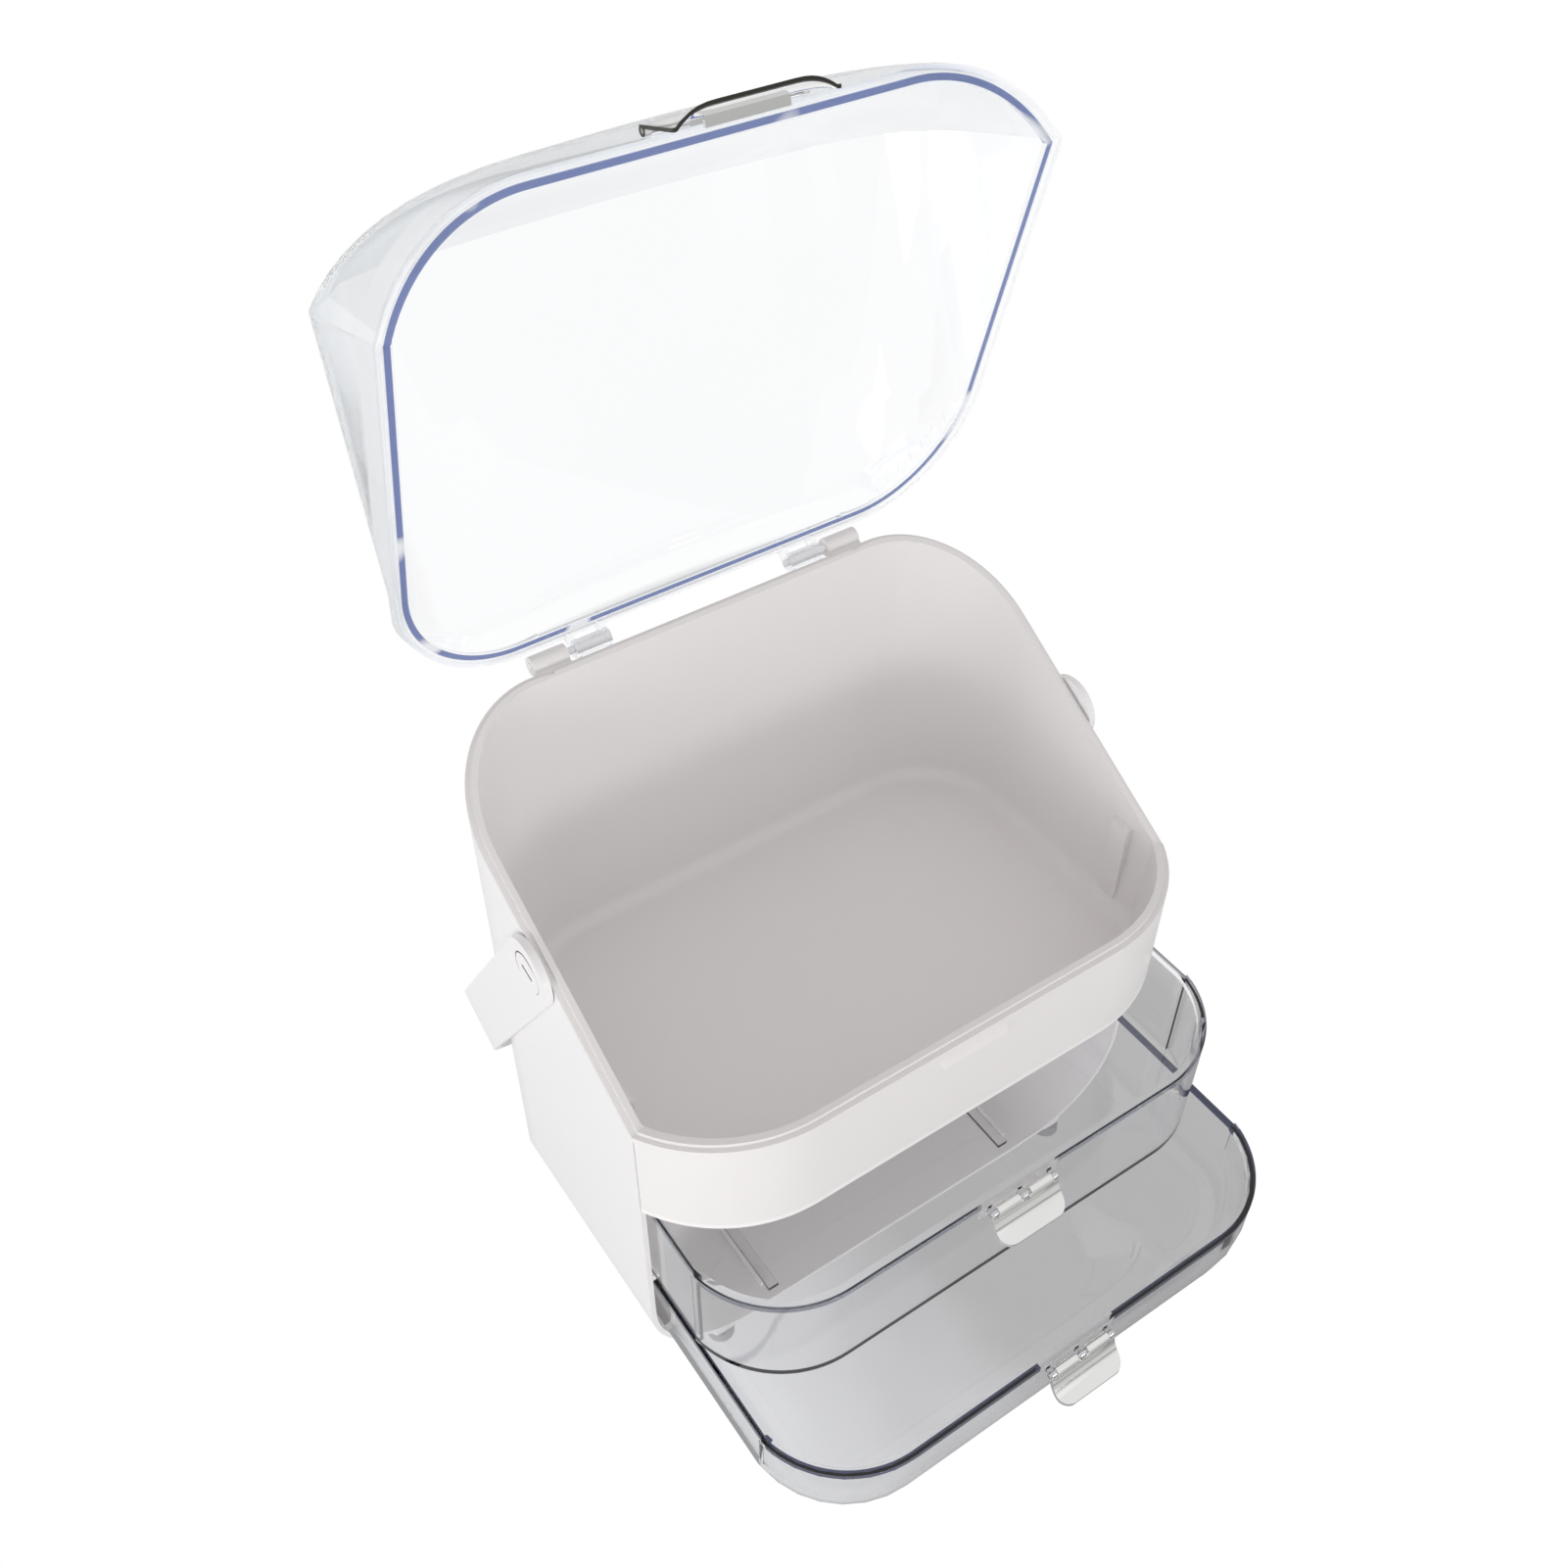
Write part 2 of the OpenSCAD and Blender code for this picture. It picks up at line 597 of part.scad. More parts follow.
module hood() color([0.85, 0.88, 0.95, 0.35]) hood_pose() difference() {
    union() {
        intersection() {
            difference() {
                hood_form(0);
                hood_form(hood_t);
            }
            above(hood_z);
        }
        // flange inside the edge, resting on the tub's lip
        difference() {
            above(seal_gap);
            above(seal_gap + seal_t);
            difference() {
                translate([-body_w, front_y - 60, 0]) cube([2*body_w, 2*body_d, 900]);
                linear_extrude(900) body_plan(hood_t - 0.4);
            }
            linear_extrude(900) body_plan(rim_w + seal_in);
        }
        // hinge lugs with their gussets up the rear wall, joined by a sleeve
        for (s = [-1, 1]) {
            for (x = lug_x) translate([s*x - lug_w/2, 0, 0]) rotate([90, 0, 90]) linear_extrude(lug_w) {
                translate([hinge_y, hinge_z]) circle(knuckle_r);
                polygon([[rear_y - 1.6, rim_rear + hood_z + 0.2], [hinge_y, hinge_z - 0.4],
                         [hinge_y + knuckle_r - 0.2, hinge_z + 1], [rear_y + 0.4, rim_rear + lug_rise],
                         [rear_y - 1.6, rim_rear + lug_rise]]);
            }
            translate([s*(lug_x[0] + lug_x[1])/2 - (lug_x[1] - lug_x[0])/2, hinge_y, hinge_z])
                rotate([0, 90, 0]) cylinder(h = lug_x[1] - lug_x[0], r = knuckle_r - 0.6);
        }
        // latch lugs
        for (x = [-latch_lug_x, 0, latch_lug_x]) translate([x - latch_lug_w/2, 0, 0])
            rotate([90, 0, 90]) linear_extrude(latch_lug_w) {
                translate([latch_y, latch_z]) circle(latch_r);
                translate([latch_y, latch_z - 1]) square([front_y - latch_y + 1, latch_r + 1]);
            }
    }
    for (s = [-1, 1]) translate([s*(lug_x[0] + lug_x[1])/2 - 20, hinge_y, hinge_z]) rotate([0, 90, 0])
        cylinder(h = 40, r = pin_r + pin_gap);
    translate([-latch_w/2, latch_y, latch_z]) rotate([0, 90, 0])
        cylinder(h = latch_w, r = latch_pin_r + pin_gap);
}

module hinge_pin(s) color("white") translate([s*(lug_x[0] - 2.5), hinge_y, hinge_z]) rotate([0, s*90, 0])
    cylinder(h = knuckle_x + knuckle_w/2 - lug_x[0] + 3, r = pin_r);
module hinge_pin_left() hinge_pin(-1);
module hinge_pin_right() hinge_pin(1);

module latch_pose() hood_pose() translate([0, latch_y, latch_z]) children();

// share of the tab's flare at x, and how far it carries the plate forwards at depth z below the pin
function flare(x) = let (u = max(0, abs(x) - tab_w/2)/(latch_w/2 - 1.5 - tab_w/2)) 1 - min(1, pow(u, 2.6));
function flare_y(z) = tab_flare*pow(max(0, z - 8)/(latch_l - 8), 2);
latch_rows = [0, 4, 8, 11, 14, 16.5, 19, 21, latch_l];
latch_cols = concat([1, 0.957, 0.92, 0.88, 0.84, 0.79, 0.73, 0.66, 0.57, 0.46], [-0.46, -0.57, -0.66, -0.73,
    -0.79, -0.84, -0.88, -0.92, -0.957, -1]);
module latch_plate() loft([for (c = latch_cols) let (x = -c*latch_w/2) concat(
    [for (z = latch_rows) [x, -latch_r - flare(x)*flare_y(z), z == 0 ? 1.2 : -z]],
    [for (i = [len(latch_rows) - 1:-1:0]) let (z = latch_rows[i])
        [x, latch_t - latch_r - flare(x)*flare_y(z), z == 0 ? 1.2 : -z]])]);

module latch_flap() color("silver") latch_pose() difference() {
    union() {
        // knuckles between and outside the hood's lugs
        for (s = [-1, 1]) {
            translate([s > 0 ? latch_lug_w/2 + 0.3 : -latch_lug_x + latch_lug_w/2 + 0.3, 0, 0])
                rotate([0, 90, 0]) cylinder(h = latch_lug_x - latch_lug_w - 0.6, r = latch_r);
            translate([s > 0 ? latch_lug_x + latch_lug_w/2 + 0.3 : -latch_w/2, 0, 0]) rotate([0, 90, 0])
                cylinder(h = latch_w/2 - latch_lug_x - latch_lug_w/2 - 0.3, r = latch_r);
        }
        difference() {
            latch_plate();
            // room round the hood's lugs
            for (x = [-latch_lug_x, 0, latch_lug_x]) translate([x - latch_lug_w/2 - 0.3, 0, 0])
                rotate([0, 90, 0]) cylinder(h = latch_lug_w + 0.6, r = latch_r + 0.4);
        }
        // hook behind the tab
        translate([-hook_w/2, latch_t - latch_r - 1.9, hook_z - latch_z])
            cube([hook_w, latch_r - latch_t + 3.8, hook_t]);
        // heels that stop the flap against the hood's front
        for (s = [-1, 1]) translate([s*latch_lug_x/2 - 3, latch_t - latch_r - 0.2, -latch_r - 0.8])
            cube([6, 2*latch_r - latch_t + 0.4, 1.2]);
    }
    translate([-latch_w, 0, 0]) rotate([0, 90, 0]) cylinder(h = 2*latch_w, r = latch_pin_r + pin_gap);
}
module latch_pin() color("silver") hood_pose() translate([-latch_w/2 + 0.5, latch_y, latch_z])
    rotate([0, 90, 0]) cylinder(h = latch_w - 1, r = latch_pin_r);

// ---------- handle ----------

module handle_path(o) intersection() {
    // U in the plane of the handle: x across, y along the arms
    translate([-strap_x - strap_t + o, -strap_w]) square([2*(strap_x + strap_t - o), reach - o + strap_w]);
    union() {
        translate([-strap_x - strap_t + o, -strap_w])
            square([2*(strap_x + strap_t - o), reach - bend_r + strap_w]);
        translate([-strap_x - strap_t + bend_r, 0]) square([2*(strap_x + strap_t - bend_r), reach - o]);
        for (s = [-1, 1]) translate([s*(strap_x + strap_t - bend_r), reach - bend_r]) circle(bend_r - o);
    }
}
module handle() color("white") translate([0, pivot_y, pivot_z]) rotate([-rest_a, 0, 0]) difference() {
    intersection() {
        translate([0, 0, -strap_w/2]) linear_extrude(strap_w) difference() {
            handle_path(0);
            handle_path(strap_t);
            translate([-strap_x, -2*strap_w]) square([2*strap_x, 3*strap_w]);
        }
        across(2*body_w) union() {
            circle(strap_w/2);
            translate([0, -strap_w/2]) square([reach + 10, strap_w]);
        }
    }
    translate([-body_w, 0, 0]) rotate([0, 90, 0]) cylinder(h = 2*body_w, r = pivot_r + pin_gap);
    // seats of the caps
    for (s = [-1, 1]) translate([s*(strap_x + strap_t - cap[1] - 0.1), 0, 0]) rotate([0, s*90, 0])
        cylinder(h = 2*cap[1], r = cap[0] + 0.25);
}

module handle_pivot(s) color("white") translate([s*(half - wall + 0.2), pivot_y, pivot_z])
    rotate([0, s*90, 0]) difference() {
        union() {
            cylinder(h = wall + strap_gap + strap_t - 0.2, r = pivot_r);
            translate([0, 0, wall + strap_gap + strap_t - cap[1] - 0.1]) cylinder(h = cap[1], r = cap[0]);
        }
        // coin slot
        rotate([0, 0, s*17]) translate([-0.9, -4.5, wall + strap_gap + strap_t - 1.3]) cube([1.8, 9, 5]);
    }
module handle_pivot_left() handle_pivot(-1);
module handle_pivot_right() handle_pivot(1);

// ---------- feet ----------

module foot(sx, k) color("gray")
    translate([sx*foot_x, k == 0 ? edge_y + foot_in[0] : rear_y - foot_in[1], 0]) union() {
        cylinder(h = 1.5, r1 = foot_r - 1.2, r2 = foot_r);
        translate([0, 0, 1.5]) cylinder(h = foot_h - 1.5, r = foot_r);
    }
module foot_front_left() foot(-1, 0);
module foot_front_right() foot(1, 0);
module foot_rear_left() foot(-1, 1);
module foot_rear_right() foot(1, 1);

casing();
tub();
upper_drawer();
lower_drawer();
hood();
latch_flap();
latch_pin();
upper_pull();
upper_pull_pin();
lower_pull();
lower_pull_pin();
handle();
handle_pivot_left();
handle_pivot_right();
hinge_pin_left();
hinge_pin_right();
foot_front_left();
foot_front_right();
foot_rear_left();
foot_rear_right();
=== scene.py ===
import bpy, math
from mathutils import Matrix, Vector

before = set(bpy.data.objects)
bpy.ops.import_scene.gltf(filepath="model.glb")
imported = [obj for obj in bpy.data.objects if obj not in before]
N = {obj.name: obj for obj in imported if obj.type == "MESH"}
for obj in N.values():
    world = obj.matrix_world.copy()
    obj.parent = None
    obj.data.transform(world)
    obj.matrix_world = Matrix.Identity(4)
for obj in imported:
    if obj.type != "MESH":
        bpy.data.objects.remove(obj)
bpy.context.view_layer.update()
scene = bpy.context.scene
scene.view_settings.view_transform = "Standard"

# ---------- places on the object, in metres ----------
# outlines in plan, with the drawers pushed in; nose_x is the x of the middle of the nose's radius
BODY = {"half": 0.150, "front": -0.0892, "back": 0.1237,
        "nose_r": 0.077, "nose_x": 0.08236, "rear_r": 0.057}
DRAWER = {"half": 0.1469, "front": -0.0892, "back": 0.1122,
          "nose_r": 0.054, "nose_x": 0.0933, "rear_r": 0.050}
WALL_EDGE_Y = -0.0490  # front edge of the casing's side walls
CIRCLE_FOOT_Z = 0.011  # lowest point of the two circles below
SIDE_CIRCLE_R = 0.057  # along the sides of the base
HEEL_CIRCLE_R = 0.018  # along the rear edge of the base
TUB_UNDER_Z = 0.1622  # just above the underside of the tub's floor
HINGE = (0.1301, 0.3175)  # y and z of the hood's hinge line
HOOD_TURN = 105.2  # degrees from the open hood to the closed one
PIVOT = (0.028, 0.24882)  # y and z of the handle's pivots
RIM_BEND = (-0.0486, 0.2187)  # y and z where the rim's slope begins, behind the nose
REAR_SLOPE = 0.1006 / 0.1723
NOSE_SLOPE = -0.0028 / 0.0402
LOWER_TOP, LOWER_OUT = 0.0881, 0.0911  # top of the drawer, and how far it stands out at rest
UPPER_TOP, UPPER_OUT = 0.1549, 0.0398
DRAWER_SPLIT = (-0.052, -0.050)  # y between the front part of a drawer and the rest, as it stands at rest


# ---------- node helpers ----------
def shader(name):
    m = bpy.data.materials.new(name)
    m.use_nodes = True
    nt = m.node_tree
    nt.nodes.clear()
    out = nt.nodes.new("ShaderNodeOutputMaterial")
    p = nt.nodes.new("ShaderNodeBsdfPrincipled")
    nt.links.new(p.outputs[0], out.inputs[0])
    return m, nt, p, out


def coords(nt, kind="Object"):
    return nt.nodes.new("ShaderNodeTexCoord").outputs[kind]


def noise(nt, scale, detail=3.0, rough=0.5, stretch=None):
    n = nt.nodes.new("ShaderNodeTexNoise")
    n.inputs["Scale"].default_value = scale
    n.inputs["Detail"].default_value = detail
    n.inputs["Roughness"].default_value = rough
    src = coords(nt)
    if stretch:
        mp = nt.nodes.new("ShaderNodeMapping")
        mp.inputs["Scale"].default_value = stretch
        nt.links.new(src, mp.inputs[0])
        src = mp.outputs[0]
    nt.links.new(src, n.inputs["Vector"])
    return n.outputs["Fac"]


def ramp(nt, fac, stops):
    r = nt.nodes.new("ShaderNodeValToRGB")
    e = r.color_ramp.elements
    while len(e) < len(stops):
        e.new(0.5)
    for k, (pos, col) in enumerate(stops):
        e[k].position = pos
        e[k].color = (*col, 1)
    nt.links.new(fac, r.inputs[0])
    return r.outputs[0]


def remap(nt, fac, a, b, lo, hi):
    r = nt.nodes.new("ShaderNodeMapRange")
    for k, v in zip(("From Min", "From Max", "To Min", "To Max"), (a, b, lo, hi)):
        r.inputs[k].default_value = v
    nt.links.new(fac, r.inputs["Value"])
    return r.outputs[0]


def calc(nt, op, *values):
    n = nt.nodes.new("ShaderNodeMath")
    n.operation = op
    for k, v in enumerate(values):
        if isinstance(v, (int, float)):
            n.inputs[k].default_value = v
        else:
            nt.links.new(v, n.inputs[k])
    return n.outputs[0]


def add(nt, a, b):
    return calc(nt, "ADD", a, b)


def sub(nt, a, b):
    return calc(nt, "SUBTRACT", a, b)


def mul(nt, a, b):
    return calc(nt, "MULTIPLY", a, b)


def most(nt, a, b):
    return calc(nt, "MAXIMUM", a, b)


def least(nt, a, b):
    return calc(nt, "MINIMUM", a, b)


def length2(nt, a, b):
    return calc(nt, "SQRT", add(nt, mul(nt, a, a), mul(nt, b, b)))


def past(nt, v, start, sign=1.0):
    """How far v lies beyond start, upwards or with sign -1 downwards, and 0 before it."""
    return most(nt, mul(nt, sub(nt, v, start), sign), 0.0)


def band(nt, v, lo, hi, soft):
    """1 between lo and hi, falling to 0 over soft outside them."""
    up = remap(nt, v, lo - soft, lo, 0, 1)
    down = remap(nt, v, hi, hi + soft, 1, 0)
    return mul(nt, up, down)


def split(nt, vec):
    n = nt.nodes.new("ShaderNodeSeparateXYZ")
    nt.links.new(vec, n.inputs[0])
    return n.outputs


def mix_colour(nt, fac, a, b):
    n = nt.nodes.new("ShaderNodeMix")
    n.data_type = "RGBA"
    nt.links.new(fac, n.inputs[0])
    for k, v in ((6, a), (7, b)):
        if isinstance(v, tuple):
            n.inputs[k].default_value = (*v, 1)
        else:
            nt.links.new(v, n.inputs[k])
    return n.outputs[2]


def mix_shader(nt, fac, a, b):
    n = nt.nodes.new("ShaderNodeMixShader")
    for k, v in enumerate((fac, a, b)):
        nt.links.new(v, n.inputs[k])
    return n.outputs[0]


def transparent(nt, colour=(1, 1, 1)):
    n = nt.nodes.new("ShaderNodeBsdfTransparent")
    n.inputs[0].default_value = (*colour, 1)
    return n.outputs[0]


def backfacing(nt):
    return nt.nodes.new("ShaderNodeNewGeometry").outputs["Backfacing"]


def slant(nt):
    """0 where a face is seen straight on, 1 where it is seen edge on."""
    n = nt.nodes.new("ShaderNodeLayerWeight")
    n.inputs[0].default_value = 0.5
    return n.outputs["Facing"]


# ---------- where things are, as node values ----------
def plan_inset(nt, x, y, plan):
    """Distance inwards from an outline in plan, for a point at y and at x, taken without its sign."""
    def corner(cx, cy, r, sign):
        return sub(nt, r, length2(nt, past(nt, x, cx), past(nt, y, cy, sign)))

    rear = corner(plan["half"] - plan["rear_r"], plan["back"] - plan["rear_r"], plan["rear_r"], 1.0)
    nose = corner(plan["nose_x"], plan["front"] + plan["nose_r"], plan["nose_r"], -1.0)
    return least(nt, rear, nose)


def closed_hood(nt):
    """Coordinates of the hood and its latch as they are with the hood closed, x without its sign."""
    turn = nt.nodes.new("ShaderNodeVectorRotate")
    turn.rotation_type = "X_AXIS"
    turn.inputs["Center"].default_value = (0, *HINGE)
    turn.inputs["Angle"].default_value = math.radians(HOOD_TURN)
    nt.links.new(coords(nt), turn.inputs["Vector"])
    x, y, z = split(nt, turn.outputs[0])
    return calc(nt, "ABSOLUTE", x), y, z


def hood_edge(nt):
    """The dark blue edge of the flange inside the hood's rim, painted shade where light is trapped in it; its
    blue follows the dye. Gives mask, colour and what stays bare.
    """
    x, y, z = closed_hood(nt)
    from_bend = sub(nt, y, RIM_BEND[0])
    slopes = most(nt, mul(nt, from_bend, REAR_SLOPE), mul(nt, from_bend, NOSE_SLOPE))
    rise = sub(nt, z, add(nt, slopes, RIM_BEND[1]))
    inset = plan_inset(nt, x, y, BODY)
    # painted shade: a dark blue line along the flange's edge, broken by noise
    line = mul(nt, band(nt, inset, 0.0035, 0.0060, 0.0002), band(nt, rise, -0.0002, 0.0029, 0.0002))
    gaps = remap(nt, noise(nt, 22, 1), 0.32, 0.36, 0.25, 1)
    inside = backfacing(nt)
    foot = mul(nt, band(nt, rise, -0.003, -0.0015, 0.0001), 0.6)
    skirt = mul(nt, mul(nt, band(nt, rise, -0.003, 0.018, 0.004), inside), 0.85)
    # light caught in the creases, which would show as black lines
    caught = mul(nt, remap(nt, slant(nt), 0.26, 0.32, 0, 0.75), inside)
    return mul(nt, line, gaps), (0.045, 0.07, 0.24), most(nt, foot, most(nt, skirt, caught))


def drawer_edge(top, out_by, dark, strip):
    """Painted shade on the dark outer corner of a drawer's rim, where light is trapped, away from its pull;
    gives mask, colour and what stays bare.
    """
    above = 0.001
    lip = 0.0034  # how far down its outer face the dark reaches
    lug_half = 0.0225  # half the width kept clear for the lugs of the pull
    lug_depth = 0.012
    step = 0.0017  # how much narrower the drawer is where it runs in the casing

    def build(nt):
        x, y, z = split(nt, coords(nt))
        x = calc(nt, "ABSOLUTE", x)
        closed_y = add(nt, y, out_by)
        inset = plan_inset(nt, x, closed_y, DRAWER)
        inset = sub(nt, inset, remap(nt, closed_y, WALL_EDGE_Y, WALL_EDGE_Y + 0.0006, 0, step))
        high = band(nt, z, top - lip, top + above, 0.00005)
        # painted shade: the dark band on the rim's outer corner
        face = mul(nt, high, band(nt, inset, -0.001, strip, 0.0001))
        away = most(nt, band(nt, x, lug_half, 1.0, 0.0002), remap(nt, y, *DRAWER_SPLIT, 0, 1))
        lugs = band(nt, x, -0.001, lug_half, 0.0002)
        lugs = mul(nt, lugs, band(nt, z, top - lug_depth, top + above, 0.0005))
        near = most(nt, band(nt, z, top - lip - 0.001, top + above, 0.0005), lugs)
        near = mul(nt, near, remap(nt, y, *DRAWER_SPLIT, 1, 0))
        return mul(nt, face, away), dark, mul(nt, mul(nt, near, backfacing(nt)), 0.9)
    return build


# ---------- materials ----------
def white_plastic(name, light, dark, rough=0.28):
    m, nt, p, _ = shader(name)
    nt.links.new(ramp(nt, noise(nt, 9, 2), [(0.35, dark), (0.65, light)]), p.inputs["Base Color"])
    gloss = remap(nt, noise(nt, 12, 1), 0.3, 0.7, rough - 0.005, rough + 0.005)
    nt.links.new(gloss, p.inputs["Roughness"])
    return m


def white_abs(name):
    return white_plastic(name, (0.922, 0.915, 0.920), (0.918, 0.910, 0.916))


def clear_plastic(name, tint, density, dye, edge, grazing):
    """Clear styrene: bends light, lets lamps through; its dye shows along its thickness. Its edges, and faces
    seen edge on, get painted shade in their colour.
    """
    rough = 0.01
    m, nt, p, out = shader(name)
    p.inputs["Transmission Weight"].default_value = 1.0
    p.inputs["IOR"].default_value = 1.47
    light = tuple(min(1, c * 1.01) for c in tint)
    col = ramp(nt, noise(nt, 5, 2), [(0.3, tint), (0.7, light)])
    # painted shade: the colour turns to grazing where a face is seen edge on
    col = mix_colour(nt, remap(nt, slant(nt), 0.45, 0.9, 0, 1), col, grazing)
    # edge() gives the mask and colour of a band of painted shade, and where the plastic stays bare
    mask, dark, bare = edge(nt)
    nt.links.new(mix_colour(nt, mask, col, dark), p.inputs["Base Color"])
    nt.links.new(remap(nt, noise(nt, 35, 3), 0.3, 0.7, rough, rough + 0.02), p.inputs["Roughness"])
    v = nt.nodes.new("ShaderNodeVolumeAbsorption")
    v.inputs["Density"].default_value = density
    v.inputs["Color"].default_value = (*dye, 1)
    nt.links.new(v.outputs[0], out.inputs["Volume"])
    path = nt.nodes.new("ShaderNodeLightPath")
    lamps = most(nt, path.outputs["Is Shadow Ray"], path.outputs["Is Diffuse Ray"])
    glass = mix_shader(nt, lamps, p.outputs[0], transparent(nt, (0.992, 0.992, 0.992)))
    nt.links.new(mix_shader(nt, bare, glass, transparent(nt)), out.inputs[0])
    return m


def drawer_plastic(name, top, out_by, dark, strip):
    edge = drawer_edge(top, out_by, dark, strip)
    return clear_plastic(name, (0.976, 0.976, 0.976), 9, (0.0, 0.0, 0.14), edge, (0.92, 0.925, 0.93))


def hood_plastic():
    # grazing is painted shade where the hood is seen edge on, darker than the drawers'
    tint, grazing = (0.985, 0.988, 0.99), (0.68, 0.72, 0.75)
    return clear_plastic("clear_hood", tint, 6, (0.0, 0.2, 0.65), hood_edge, grazing)


def thin_wall(m, inner, pale, share):
    """Paler inside, as painted light for the dim inside, and some of the light from outside comes through to
    the inside of this thin wall.
    """
    nt = m.node_tree
    p, out = nt.nodes["Principled BSDF"], nt.nodes["Material Output"]
    base = p.inputs["Base Color"].links[0].from_socket
    # painted light: where inner is 1 the paler colour is used
    nt.links.new(mix_colour(nt, inner, base, pale), p.inputs["Base Color"])
    path = nt.nodes.new("ShaderNodeLightPath")
    part = most(nt, mul(nt, inner, share), backfacing(nt))
    part = mul(nt, path.outputs["Is Diffuse Ray"], part)
    nt.links.new(mix_shader(nt, part, p.outputs[0], transparent(nt)), out.inputs[0])
    return m


def casing_plastic():
    m = white_abs("white_casing")
    nt = m.node_tree
    x, y, z = split(nt, coords(nt))
    x = calc(nt, "ABSOLUTE", x)

    def circle(v, end, r):
        return sub(nt, r, length2(nt, past(nt, v, end - r), past(nt, z, CIRCLE_FOOT_Z + r, -1.0)))

    base = least(nt, circle(x, BODY["half"], SIDE_CIRCLE_R), circle(y, BODY["back"], HEEL_CIRCLE_R))
    depth = least(nt, plan_inset(nt, x, y, BODY), base)
    # the inside of the casing gets the paler colour, painted light
    return thin_wall(m, remap(nt, depth, 0.0016, 0.0020, 0, 1), (0.985, 0.972, 0.968), 0.85)


def tub_plastic():
    # darker and warmer than the casing's white, as painted shade for the tub's shaded inside
    m = white_plastic("white_tub", (0.845, 0.827, 0.824), (0.841, 0.822, 0.819))
    nt = m.node_tree
    under = remap(nt, split(nt, coords(nt))[2], TUB_UNDER_Z, TUB_UNDER_Z + 0.0008, 1, 0)
    # the underside of its floor gets the paler colour, painted light
    return thin_wall(m, under, (0.93, 0.91, 0.905), 0.7)


def pivot_cap():
    """White cap with the shade in its coin slot and in the gap round it."""
    m = white_abs("white_cap")
    nt = m.node_tree
    p = nt.nodes["Principled BSDF"]
    base = p.inputs["Base Color"].links[0].from_socket
    x, y, z = split(nt, coords(nt))
    slot = remap(nt, calc(nt, "ABSOLUTE", x), 0.1539, 0.15405, 1, 0)
    dy = sub(nt, y, PIVOT[0])
    dz = sub(nt, z, PIVOT[1])
    ring = band(nt, length2(nt, dy, dz), 0.0097, 0.012, 0.00015)
    side = remap(nt, add(nt, dy, dz), -0.002, 0.006, 0, 1)
    shade = most(nt, slot, mul(nt, ring, side))
    nt.links.new(mix_colour(nt, shade, base, (0.13, 0.06, 0.05)), p.inputs["Base Color"])
    return m


def metal(name, base, rough, painted_edges=False):
    m, nt, p, _ = shader(name)
    p.inputs["Metallic"].default_value = 1.0
    col = ramp(nt, noise(nt, 30, 3), [(0.3, tuple(c * 0.96 for c in base)), (0.7, base)])
    if painted_edges:
        x, _, z = closed_hood(nt)
        # painted reflection: the flap's lower edge and its ends are made dark, as if mirroring dark
        # surroundings
        low = remap(nt, z, 0.2010, 0.2012, 1, 0)
        ends = remap(nt, x, 0.0348, 0.0349, 0, 1)
        col = mix_colour(nt, most(nt, low, ends), col, (0.075, 0.073, 0.066))
    nt.links.new(col, p.inputs["Base Color"])
    brushed = noise(nt, 150, 3, 0.6, (1, 8, 8))
    nt.links.new(remap(nt, brushed, 0.3, 0.7, rough, rough + 0.05), p.inputs["Roughness"])
    return m


def dress(names, material):
    for n in names:
        for s in N[n].material_slots:
            s.material = material


dress(("handle", "hinge_pin_left", "hinge_pin_right"), white_abs("white_abs"))
dress(("casing",), casing_plastic())
dress(("tub",), tub_plastic())
dress(("handle_pivot_left", "handle_pivot_right"), pivot_cap())
# the dark rim colours passed below are painted shade
dress(("lower_drawer",), drawer_plastic("clear_lower", LOWER_TOP, LOWER_OUT, (0.008, 0.010, 0.030), 0.0026))
dress(("upper_drawer",), drawer_plastic("clear_upper", UPPER_TOP, UPPER_OUT, (0.24, 0.27, 0.35), 0.0010))
dress(("hood",), hood_plastic())
dress(("latch_flap",), metal("chrome_latch", (0.86, 0.86, 0.85), 0.05, painted_edges=True))
dress(("upper_pull", "lower_pull"), metal("chrome", (0.76, 0.76, 0.745), 0.05))
dress(("latch_pin", "upper_pull_pin", "lower_pull_pin"), metal("steel", (0.55, 0.55, 0.57), 0.22))
dress(("foot_front_left", "foot_front_right", "foot_rear_left", "foot_rear_right"),
      white_plastic("grey_rubber", (0.36, 0.36, 0.38), (0.31, 0.31, 0.33), 0.55))


def smooth_group():
    """Smooth shading between faces that meet at a small angle."""
    g = bpy.data.node_groups.new("soft_edges", "GeometryNodeTree")
    g.interface.new_socket("Geometry", in_out="INPUT", socket_type="NodeSocketGeometry")
    g.interface.new_socket("Geometry", in_out="OUTPUT", socket_type="NodeSocketGeometry")
    i, o = g.nodes.new("NodeGroupInput"), g.nodes.new("NodeGroupOutput")
    weld = g.nodes.new("GeometryNodeMergeByDistance")
    weld.inputs["Distance"].default_value = 1e-6
    face = g.nodes.new("GeometryNodeSetShadeSmooth")
    face.domain = "FACE"
    edge = g.nodes.new("GeometryNodeSetShadeSmooth")
    edge.domain = "EDGE"
    edge.inputs["Shade Smooth"].default_value = False
    angle = g.nodes.new("GeometryNodeInputMeshEdgeAngle")
    wide = g.nodes.new("FunctionNodeCompare")
    wide.inputs[1].default_value = math.radians(24)
    g.links.new(angle.outputs[0], wide.inputs[0])
    g.links.new(wide.outputs[0], edge.inputs["Selection"])
    for a, b in ((i, weld), (weld, face), (face, edge), (edge, o)):
        g.links.new(a.outputs[0], b.inputs[0])
    return g


soft = smooth_group()
for n in ("hood", "tub", "lower_drawer", "latch_flap"):
    N[n].modifiers.new("soft", "NODES").node_group = soft


